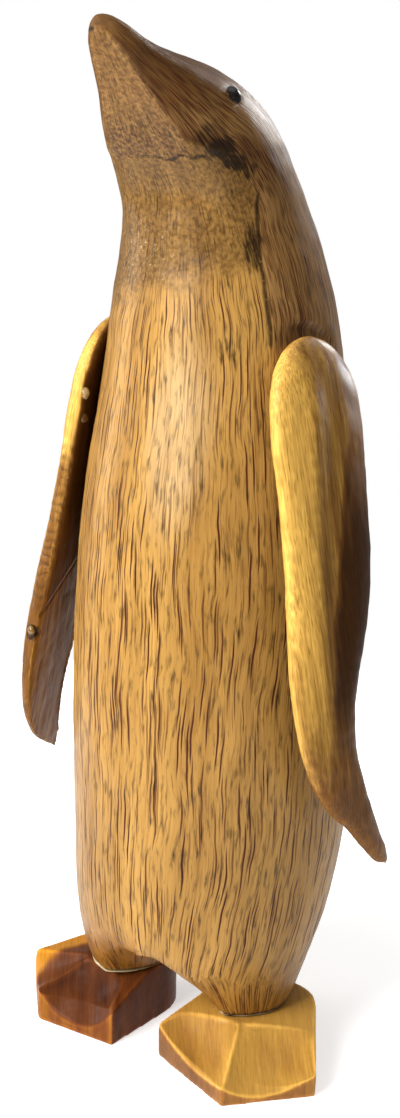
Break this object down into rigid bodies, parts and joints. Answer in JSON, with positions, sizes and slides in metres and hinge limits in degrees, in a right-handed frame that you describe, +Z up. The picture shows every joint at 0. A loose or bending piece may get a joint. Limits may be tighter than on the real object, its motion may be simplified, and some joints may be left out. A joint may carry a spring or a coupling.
{
  "type": "carved penguin figurine",
  "caption": "Standing penguin carved from bamboo root with a raised head, dowelled wooden wings and separate web feet in pale and dark wood.",
  "frame": {"origin": "middle of the figure's box, on the floor under its feet", "axes": "+Z up along the body, -Y the way the penguin faces, +X to the penguin's left"},
  "size_m": [0.1692, 0.138, 0.406],
  "materials": {
    "bamboo_root": "satin lacquer over carved bamboo root",
    "wing_wood": "satin lacquer over two-tone hardwood",
    "pale_foot_wood": "satin lacquer over pale sapwood",
    "dark_foot_wood": "satin lacquer over dark heartwood",
    "dowel_wood": "plain sanded",
    "wood_glue": "glossy dried glue",
    "black_bead": "glossy"
  },
  "bodies": {
    "root": {"body": "bamboo_root", "left_wing": "wing_wood", "right_wing": "wing_wood", "left_foot": "pale_foot_wood", "right_foot": "dark_foot_wood", "left_wing_upper_dowel": "dowel_wood", "left_wing_lower_dowel": "dowel_wood", "right_wing_upper_dowel": "dowel_wood", "right_wing_lower_dowel": "dowel_wood", "left_foot_dowel": "dowel_wood", "right_foot_dowel": "dowel_wood", "left_ankle_glue": "wood_glue", "right_ankle_glue": "wood_glue", "right_wing_glue_drop": "wood_glue", "left_eye": "black_bead", "right_eye": "black_bead"}
  },
  "joints": []
}
